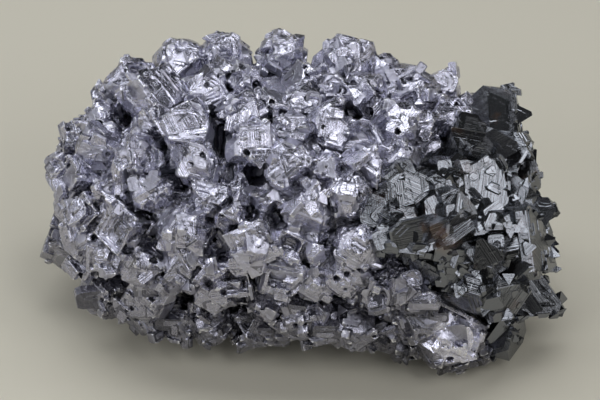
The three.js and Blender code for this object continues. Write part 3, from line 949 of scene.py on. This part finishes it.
for across in np.arange(22.0, 55.0, 4.4):
    for up in np.arange(-10.5, 8.0, 3.6):
        facing = BAND_FACING[random.integers(len(BAND_FACING))]
        place = [across + random.uniform(-1.4, 1.4), up + random.uniform(-1.2, 1.2)]
        size = [random.uniform(1.8, 3.2), random.uniform(1.5, 2.6)]
        BLACK_SLABS.append(place + size + [random.uniform(5, 45), facing, "four"])
for _ in range(GLINTS):
    facing = GLINT_FACING[random.integers(len(GLINT_FACING))]
    place = [random.uniform(38, 58), random.uniform(-30, 20)]
    BLACK_FACES.append(place + [random.uniform(1.0, 2.6), facing, random.uniform(0, 90)])
print("black faces:", len(BLACK_FACES), "slabs:", len(BLACK_SLABS))

# %% Joining the sphalerite
FACE_OUT = 0.9
SLAB_SUNK = 0.5

sphalerite_tree = solid_tree(sphalerite_points, sphalerite_triangles)
for across, up, size, facing, turn in BLACK_FACES:
    at, _ = seen_point(sphalerite_tree, across, up)
    if at is None:
        continue
    aim = turned_frame(FACING[facing], turn, 0.06)
    corners, faces = TIP_FORMS[random.integers(len(TIP_FORMS))]
    local = corners @ np.array([ALONG_OCTA, -ASIDE_OCTA, -OUT_OCTA]).T
    local[:, 2] -= local[:, 2].max()
    local = local * size * 0.75 + [0, 0, FACE_OUT]
    layers.append((on_facet(aim, at, local), [face[::-1] for face in faces]))
for across, up, half_width, half_height, turn, facing, sides in BLACK_SLABS:
    at, _ = seen_point(sphalerite_tree, across, up)
    if at is not None:
        aim = turned_frame(FACING[facing], turn, 0.06)
        at = at - SLAB_SUNK * aim.normal
        layers += shown_plate(aim, at, half_width, half_height, sides, 0.15, 2, (0.05, 0.3))
sphalerite = mesh_piece("sphalerite_crystals", sphalerite_points, sphalerite_triangles.tolist())
print("triangles of sphalerite:", combine(sphalerite, layers, "UNION"))
print("triangles above the foot:", combine(sphalerite, [below_the_foot], "DIFFERENCE"))
print("loose crumbs dropped:", drop_crumbs(sphalerite))

# %% [markdown]
# ## Lustre
#
# On the real specimen some faces are mirror bright and others satin, and the change happens at the
# edge between two faces. A random value for each flat face carries that. It is stored on the mesh as
# an attribute, together with the direction across the face's longest edge, for its growth lines.

# %% Values of flat faces
def store(mesh, name, values, domain="FACE"):
    """Keeps a number or a direction for every face or point of a mesh."""
    kind, field = ("FLOAT_VECTOR", "vector") if values.ndim == 2 else ("FLOAT", "value")
    made = mesh.attributes.new(name, kind, domain)
    made.data.foreach_set(field, values.astype(np.float32).ravel())


def mark_faces(piece, seed):
    """Stores a lustre value and a growth direction for every flat face of a finished piece."""
    mesh = piece.data
    points = column(mesh.vertices, "co", 3) * MM
    normals = column(mesh.polygons, "normal", 3)
    height = np.sum(normals * column(mesh.polygons, "center", 3) * MM, axis=1)
    plane = np.round(np.concatenate([normals * 200, height[:, None] * 20], axis=1)).astype(np.int64)
    groups = np.unique(plane, axis=0, return_inverse=True)[1].reshape(-1)
    store(mesh, "lustre", np.random.default_rng(seed).random(groups.max() + 1)[groups])
    ends = column(mesh.edges, "vertices", 2, np.int32)
    spans = points[ends[:, 1]] - points[ends[:, 0]]
    lengths = np.linalg.norm(spans, axis=1)
    sides = column(mesh.loops, "edge_index", 1, np.int32)
    owner = np.repeat(np.arange(len(mesh.polygons)), column(mesh.polygons, "loop_total", 1, np.int32))
    order = np.lexsort((-lengths[sides], groups[owner]))
    first = np.searchsorted(groups[owner][order], np.arange(groups.max() + 1))
    longest = spans[sides[order[first]]]
    longest /= np.maximum(np.linalg.norm(longest, axis=1), 1e-9)[:, None]
    store(mesh, "growth_line", np.cross(normals, longest[groups]))
    return groups.max() + 1


print("galena faces marked:", mark_faces(galena, 3))
print("sphalerite faces marked:", mark_faces(sphalerite, 5))

# %% [markdown]
# ## Melted edges
#
# The galena looks half melted: its edges are rounded, and only some thin plates stay crisp. A bevel
# can't follow thousands of crossing edges. The whole piece is rebuilt from fine voxels and smoothed
# once instead. That makes millions of triangles, so they are thinned out in two passes: first where
# the display view shows nothing, then everywhere, most where the surface is flat.

# %% Melting helpers
SIGHT_GRAIN = 0.0004
KEPT_UNSEEN = 0.035
FOOT_REACH = 0.00015


def mended(piece):
    """Cuts out the few places where more or fewer than two faces share an edge, and closes them again."""
    work = bmesh.new()
    work.from_mesh(piece.data)
    found = 0
    for _ in range(8):
        odd = [edge for edge in work.edges if len(edge.link_faces) != 2]
        if not odd:
            break
        found += len(odd)
        bmesh.ops.delete(work, geom=list({v for edge in odd for v in edge.verts}), context="VERTS")
        rim = [edge for edge in work.edges if len(edge.link_faces) == 1]
        closed = bmesh.ops.holes_fill(work, edges=rim, sides=0)["faces"]
        bmesh.ops.triangulate(work, faces=closed)
    left = sum(len(edge.link_faces) != 2 for edge in work.edges)
    work.to_mesh(piece.data)
    work.free()
    return found, left


def seen_from(points, way, grain):
    """Which points of a dense surface are seen from far away in one direction, by a grid of depths."""
    way = way.normalized()
    right = way.orthogonal().normalized()
    flat = np.stack([points @ np.array(right), points @ np.array(way.cross(right))], axis=1)
    cells = np.floor((flat - flat.min(0)) / grain).astype(np.int64)
    cell = cells[:, 0] * (cells[:, 1].max() + 1) + cells[:, 1]
    depth = points @ np.array(way)
    nearest = np.full(cell.max() + 1, -1.0)
    np.maximum.at(nearest, cell, depth)
    return depth > nearest[cell] - 3 * grain


# %% Thinning and melting
def thinned(piece, ratio, group=""):
    """Takes triangles out of a piece down to a ratio, inside one vertex group if it is named."""
    thin = piece.modifiers.new("thinning", "DECIMATE")
    thin.ratio = ratio
    thin.vertex_group = group
    return applied(piece)


def melted(piece, voxel, rounds, most):
    """Rounds every edge of a piece a little, then thins its triangles out."""
    remesh = piece.modifiers.new("grains", "REMESH")
    remesh.mode = "VOXEL"
    remesh.voxel_size = voxel
    smooth = piece.modifiers.new("rounding", "SMOOTH")
    smooth.factor = 0.5
    smooth.iterations = rounds
    print("triangles of the voxel mesh:", applied(piece))
    front = seen_from(column(piece.data.vertices, "co", 3), toward_camera, SIGHT_GRAIN)
    group = piece.vertex_groups.new(name="unseen")
    group.add(np.nonzero(~front)[0].tolist(), 1.0, "REPLACE")
    print("with the unseen side thinned out:", thinned(piece, front.mean() + KEPT_UNSEEN, "unseen"))
    print("inner hollows dropped:", drop_crumbs(piece))
    thinned(piece, most / triangle_count(piece.data))
    print("odd edges mended and left:", mended(piece), "crumbs:", drop_crumbs(piece))
    piece.vertex_groups.clear()
    points = column(piece.data.vertices, "co", 3)
    points[points[:, 2] < FOOT_REACH, 2] = 0
    piece.data.vertices.foreach_set("co", points.ravel())
    piece.data.update()
    return triangle_count(piece.data)


# %% Creases and ridges
def mark_ridges(piece):
    """Stores for every point how much it stands out: above 0 on ridges, below 0 in creases."""
    mesh = piece.data
    points = column(mesh.vertices, "co", 3)
    normals = column(mesh.vertex_normals, "vector", 3)
    ends = column(mesh.edges, "vertices", 2, np.int32)
    one, two = ends.T
    way = points[two] - points[one]
    way /= np.maximum(np.linalg.norm(way, axis=1), 1e-9)[:, None]
    bend = np.zeros(len(points))
    np.add.at(bend, one, -np.sum(way * normals[one], axis=1))
    np.add.at(bend, two, np.sum(way * normals[two], axis=1))
    bend /= np.maximum(np.bincount(ends.ravel(), minlength=len(points)), 1)
    store(mesh, "ridge", bend, "POINT")
    return np.percentile(bend, [5, 50, 95]).round(2).tolist()


# %% Melting the galena
sharp_galena = galena.data
print("triangles after melting:", melted(galena, voxel=0.0003, rounds=1, most=150000))
print("creases and ridges:", mark_ridges(galena))

# %% [markdown]
# ## Crisp plates
#
# The last growth layers are thin plates with sharp outlines that lie on the melted crystals. They are
# joined on after the melting. The large low faces come first, one of them the bright, smooth face of
# the crystal at the lower right. Small plates then land at random places of the view, and stay only
# where the melted surface still lies along the flat face it came from.

# %% Joining crisp plates
BRIGHT_FACE = (39.5, -34.0)
PLATE_TRIES = 1100
LIES_FLAT = 0.95


def tree_of(mesh):
    """A search tree of a mesh's faces."""
    return BVHTree.FromPolygons([v.co for v in mesh.vertices], [tuple(f.vertices) for f in mesh.polygons])


melted_tree = tree_of(galena.data)
sharp_tree = tree_of(sharp_galena)
sight = np.array(toward_camera)
crisp = []
for across, up, half_width, half_height, turn, facing, sides in GALENA_FACES:
    at, _ = seen_point(melted_tree, across, up)
    if at is None or up > CRISP_BELOW:
        continue
    smooth_face = (across, up) == BRIGHT_FACE
    aim = turned_frame(FACING[facing], turn, 0.02 if smooth_face else 0.11)
    size = (0.8 * half_width, 0.8 * half_height)
    crisp += shown_plate(aim, at, *size, sides, 0.2, 2 if smooth_face else 4, (0.05, 0.2), 2.0)
for _ in range(PLATE_TRIES):
    across, up = random.uniform(-66, 66), random.uniform(-43, 45)
    at, leaning = seen_point(melted_tree, across, up)
    hidden, _ = seen_point(sphalerite_tree, across, up)
    if at is None or (hidden is not None and (hidden - at) @ sight > 0):
        continue
    if math.hypot(across - BRIGHT_FACE[0], up - BRIGHT_FACE[1]) < 6.5:
        continue
    _, normal, number, _ = sharp_tree.find_nearest(Vector(at / MM))
    aside = np.array(sharp_galena.attributes["growth_line"].data[number].vector)
    normal = np.array(normal)
    if normal @ leaning < LIES_FLAT or normal @ sight < 0.1 or np.linalg.norm(aside) < 0.5:
        continue
    aim = SimpleNamespace(along=np.cross(aside, normal), aside=aside, normal=normal)
    width = random.uniform(0.7, 2.2)
    sides = "three" if random.random() < 0.5 else "four"
    levels = int(random.integers(1, 3))
    height = width * random.uniform(0.5, 1.0)
    crisp += shown_plate(aim, at, width, height, sides, 0.15, levels, (0.06, 0.16), 0.6)
print("crisp plates:", len(crisp), "triangles:", combine(galena, crisp, "UNION"))
print("crumbs dropped:", drop_crumbs(galena))
galena.data.polygons.foreach_set("use_smooth", [True] * len(galena.data.polygons))
galena.data.set_sharp_from_angle(angle=math.radians(15))

# %% [markdown]
# ## Gaps and foot
#
# Deep gaps between the crystals get a painted shade, the faces near the foot a painted shade that
# makes them darker than the upper ones, and the bright crystal at the lower right a painted highlight.
# How closed in a face is could be read at render time, but an exported model would lose it, so short
# rays measure it once here.

# %% Values of the melted galena
GAP_RAYS = 9
GAP_REACH = 0.010


def carry_values(sharp, tree, piece):
    """Gives every face of a melted piece the values of the nearest face of its sharp mesh."""
    nearest = np.array([tree.find_nearest(face.center)[2] for face in piece.data.polygons])
    store(piece.data, "lustre", column(sharp.attributes["lustre"].data, "value")[nearest])
    store(piece.data, "growth_line", column(sharp.attributes["growth_line"].data, "vector", 3)[nearest])


def mark_hollows(piece):
    """Stores for every face how closed in it is: 0 in the open, towards 1 deep between crystals."""
    tree = tree_of(piece.data)
    spiral = []
    for k in range(GAP_RAYS):
        height = math.sqrt(1 - (k + 0.5) / GAP_RAYS)
        width, angle = math.sqrt(1 - height * height), k * 2.39996
        spiral.append((width * math.cos(angle), width * math.sin(angle), height))
    hollows = np.zeros(len(piece.data.polygons))
    for face in piece.data.polygons:
        normal = face.normal
        along = normal.orthogonal().normalized()
        aside = normal.cross(along)
        start = face.center + normal * 0.00002
        closed = 0.0
        for x, y, z in spiral:
            distance = tree.ray_cast(start, along * x + aside * y + normal * z, GAP_REACH)[3]
            if distance is not None:
                closed += 1 - distance / GAP_REACH
        hollows[face.index] = closed / GAP_RAYS
    store(piece.data, "hollow", hollows)
    return float(hollows.mean())


def mark_painted_foot_shade_and_highlight(piece, low, high, bright_at, bright_reach):
    """Stores painted shade for each face: 1 at the foot, 0 higher up, below 0 for a painted highlight on one
    bright crystal.
    """
    centres = column(piece.data.polygons, "center", 3) * MM
    level = centres[:, 2] - 0.35 * np.clip(centres[:, 0] - 5, 0, 25)
    share = np.clip((high - level) / (high - low), 0, 1.1)
    far = np.clip((np.linalg.norm(centres - bright_at, axis=1) - bright_reach) / 2, 0, 1)
    share = share * far - 0.7 * (1 - far)
    store(piece.data, "painted_foot_shade_and_highlight", share)
    return float(share.mean())


# %% Marking the galena
carry_values(sharp_galena, sharp_tree, galena)
bpy.data.meshes.remove(sharp_galena)
print("mean closeness of galena:", mark_hollows(galena))
bright_at, _ = seen_point(galena_tree, BRIGHT_FACE[0], BRIGHT_FACE[1] - 1.0)
print("mean foot_shade_and_highlight:", mark_painted_foot_shade_and_highlight(galena, 6.0, 40.0, bright_at, 6.0))

# %% [markdown]
# ## Growth steps and rims, shared by both finishes
#
# The faces of both minerals are stepped down to the finest scale. Modelling that would take millions
# of triangles, so one node group gives it as a bump height: contour-like steps, made by cutting smooth
# noise into levels, and fine growth lines along each face. A second group rounds the edges with a
# bevel normal, which lets the rims glint under the lamps, and gives a mask of the edges, which the
# galena uses to paint a highlight on its rims.

# %% Node helpers
FLOAT, VECTOR = "NodeSocketFloat", "NodeSocketVector"


def node_in(tree, kind, inputs=None, **settings):
    """A shader node with its settings; an input gets a value or a link from another node's socket."""
    made = tree.nodes.new(kind)
    for key, value in settings.items():
        setattr(made, key, value)
    for name, value in (inputs or {}).items():
        if isinstance(value, bpy.types.NodeSocket):
            tree.links.new(value, made.inputs[name])
        else:
            made.inputs[name].default_value = value
    return made


def math_of(tree, operation, *values):
    """The result of a math node that is fed by sockets."""
    return node_in(tree, "ShaderNodeMath", dict(enumerate(values)), operation=operation).outputs[0]


def remapped(tree, value, starts, ends, **settings):
    """A value taken from one range to another."""
    inputs = {"Value": value, "From Min": starts[0], "From Max": starts[1]}
    inputs.update({"To Min": ends[0], "To Max": ends[1]})
    return node_in(tree, "ShaderNodeMapRange", inputs, **settings).outputs["Result"]


def mixed(tree, share, first, second, blend="MIX"):
    """Two colours mixed by a share, or multiplied."""
    inputs = {"Factor": share, "A": first, "B": second}
    return node_in(tree, "ShaderNodeMix", inputs, data_type="RGBA", blend_type=blend).outputs["Result"]


def value_of(tree, name, output="Fac"):
    """A value that is stored on the mesh."""
    return node_in(tree, "ShaderNodeAttribute", attribute_name=name).outputs[output]


def new_group(name, inputs, outputs):
    """An empty node group with named sockets, and the sockets that bring its inputs in."""
    group = bpy.data.node_groups.new(name, "ShaderNodeTree")
    for label, kind, value in inputs:
        group.interface.new_socket(name=label, in_out="INPUT", socket_type=kind).default_value = value
    for label, kind in outputs:
        group.interface.new_socket(name=label, in_out="OUTPUT", socket_type=kind)
    return group, node_in(group, "NodeGroupInput").outputs


# %% Growth steps group
steps, given = new_group(
    "growth_steps",
    [
        ("Patch Scale", FLOAT, 250.0),
        ("Levels", FLOAT, 9.0),
        ("Line Scale", FLOAT, 3000.0),
        ("Line Share", FLOAT, 0.5),
    ],
    [("Height", FLOAT), ("Mottle", FLOAT)],
)
place = node_in(steps, "ShaderNodeTexCoord").outputs["Object"]
noise = {"Vector": place, "Scale": given["Patch Scale"], "Detail": 2.0, "Roughness": 0.55, "Distortion": 0.6}
patch = node_in(steps, "ShaderNodeTexNoise", noise).outputs["Fac"]
level = math_of(steps, "MULTIPLY", patch, given["Levels"])
part = math_of(steps, "FRACT", level)
riser = remapped(steps, part, (0.70, 1.0), (0.0, 1.0), interpolation_type="SMOOTHSTEP")
terrace = math_of(steps, "ADD", math_of(steps, "FLOOR", level), riser)
across_lines = {0: place, 1: value_of(steps, "growth_line", "Vector")}
along = node_in(steps, "ShaderNodeVectorMath", across_lines, operation="DOT_PRODUCT").outputs["Value"]
noise = {"W": along, "Scale": given["Line Scale"], "Detail": 3.0}
line = node_in(steps, "ShaderNodeTexNoise", noise, noise_dimensions="1D").outputs["Fac"]
line_height = math_of(steps, "MULTIPLY", line, given["Line Share"])
height = math_of(steps, "ADD", terrace, line_height)
node_in(steps, "NodeGroupOutput", {"Height": height, "Mottle": patch})
print("group made:", steps.name)

# %% Rounded rims group
rims, given = new_group("rounded_rims", [("Radius", FLOAT, 0.0003)], [("Normal", VECTOR), ("Rim", FLOAT)])
rounded = node_in(rims, "ShaderNodeBevel", {"Radius": given["Radius"]}, samples=4).outputs["Normal"]
flat = node_in(rims, "ShaderNodeNewGeometry").outputs["True Normal"]
agree = node_in(rims, "ShaderNodeVectorMath", {0: rounded, 1: flat}, operation="DOT_PRODUCT").outputs["Value"]
rim = remapped(rims, agree, (0.98, 0.85), (0.0, 1.0))
node_in(rims, "NodeGroupOutput", {"Normal": rounded, "Rim": rim})
print("group made:", rims.name)


# %% Crystal surface
def new_finish(name, growth, radius, bump, rough):
    """A material with stepped bump, rounded rims and face lustre; gives also its mottle and rim masks."""
    material = bpy.data.materials.new(name)
    material.use_nodes = True
    tree = material.node_tree
    surface = tree.nodes["Principled BSDF"]
    grown = node_in(tree, "ShaderNodeGroup", node_tree=steps)
    for label, value in growth.items():
        grown.inputs[label].default_value = value
    edges = node_in(tree, "ShaderNodeGroup", node_tree=rims)
    edges.inputs["Radius"].default_value = radius
    inputs = {"Height": grown.outputs["Height"], "Normal": edges.outputs["Normal"]}
    inputs.update({"Strength": bump[0], "Distance": bump[1]})
    bumped = node_in(tree, "ShaderNodeBump", inputs)
    tree.links.new(bumped.outputs["Normal"], surface.inputs["Normal"])
    roughness = remapped(tree, value_of(tree, "lustre"), (0.0, 1.0), rough)
    tree.links.new(roughness, surface.inputs["Roughness"])
    return material, grown.outputs["Mottle"], edges.outputs["Rim"]


def two_tones(tree, value, low, high):
    """A colour between two tones, each given as the value it belongs to and its colour."""
    ramp = node_in(tree, "ShaderNodeValToRGB", {"Fac": value})
    for element, (position, colour) in zip(ramp.color_ramp.elements, (low, high)):
        element.position = position
        element.color = colour
    return ramp.outputs["Color"]


# %% [markdown]
# ## Finish of galena
#
# Galena is metallic and lead grey with a lavender cast. The mottle of the growth steps shifts its
# tone a little. Rims and ridges get a painted highlight, creases and deep gaps a painted shade, and the
# foot a painted shade, with a painted highlight on one bright crystal at the lower right.
# Each is one colour mixed over the last, driven by a mask of the groups or a value of the mesh.

# %% Galena material
growth = {"Patch Scale": 520.0, "Levels": 12.0, "Line Scale": 2600.0, "Line Share": 0.6}
lead, mottle, rim = new_finish("lead_grey_galena", growth, 0.00014, (0.8, 0.00016), (0.10, 0.34))
tree = lead.node_tree
surface = tree.nodes["Principled BSDF"]
surface.inputs["Metallic"].default_value = 1.0
tone = two_tones(tree, mottle, (0.3, (0.50, 0.50, 0.60, 1)), (0.7, (0.65, 0.65, 0.77, 1)))
# Painted highlight: the edge mask mixes the tone towards a pale lavender grey along the rims.
tone = mixed(tree, rim, tone, (0.90, 0.90, 0.97, 1))
# Painted shade: faces closed in between the crystals are darkened down to 0.45 of their tone.
painted_gap_shade = remapped(tree, value_of(tree, "hollow"), (0.28, 0.70), (1.0, 0.45))
tone = mixed(tree, 1.0, tone, painted_gap_shade, "MULTIPLY")
# Painted shade darkens faces towards the foot and the right down to 0.4; below 0 the value lifts the bright
# crystal at the lower right above its tone as a painted highlight.
foot = remapped(tree, value_of(tree, "painted_foot_shade_and_highlight"), (0.0, 1.0), (1.0, 0.4), clamp=False)
tone = mixed(tree, 1.0, tone, foot, "MULTIPLY")
# Painted shade in creases and a painted highlight on ridges, both from the stored bend of the surface.
ridge = value_of(tree, "ridge")
tone = mixed(tree, 1.0, tone, remapped(tree, ridge, (-0.3, 0.0), (0.45, 1.0)), "MULTIPLY")
tone = mixed(tree, remapped(tree, ridge, (0.18, 0.36), (0.0, 1.0)), tone, (0.93, 0.93, 0.98, 1))
tree.links.new(tone, surface.inputs["Base Color"])
galena.data.materials.clear()
galena.data.materials.append(lead)
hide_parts("galena")
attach(galena, "root")
print("galena material nodes:", len(tree.nodes))

# %% [markdown]
# ## Finish of sphalerite
#
# This sphalerite is black with a resinous gloss: not a metal, but with a refractive index so high that
# its faces mirror almost a fifth of the light. Some layered faces are grainy and look grey, and traces
# of brown show in patches of noise over it.

# %% Sphalerite material
growth = {"Patch Scale": 200.0, "Levels": 4.0, "Line Scale": 3200.0, "Line Share": 1.6}
black, _, _ = new_finish("black_sphalerite", growth, 0.00005, (0.35, 0.0001), (0.04, 0.24))
tree = black.node_tree
surface = tree.nodes["Principled BSDF"]
surface.inputs["IOR"].default_value = 2.7
surface.inputs["Specular Tint"].default_value = (0.86, 0.90, 1.0, 1)
place = node_in(tree, "ShaderNodeTexCoord").outputs["Object"]
noise = {"Vector": place, "Scale": 90.0, "Detail": 6.0}
stain = node_in(tree, "ShaderNodeTexNoise", noise).outputs["Fac"]
tone = two_tones(tree, stain, (0.60, (0.012, 0.012, 0.012, 1)), (0.74, (0.10, 0.05, 0.02, 1)))
tree.links.new(tone, surface.inputs["Base Color"])
sphalerite.data.materials.clear()
sphalerite.data.materials.append(black)
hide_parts("sphalerite")
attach(sphalerite, "root")
print("sphalerite material nodes:", len(tree.nodes))
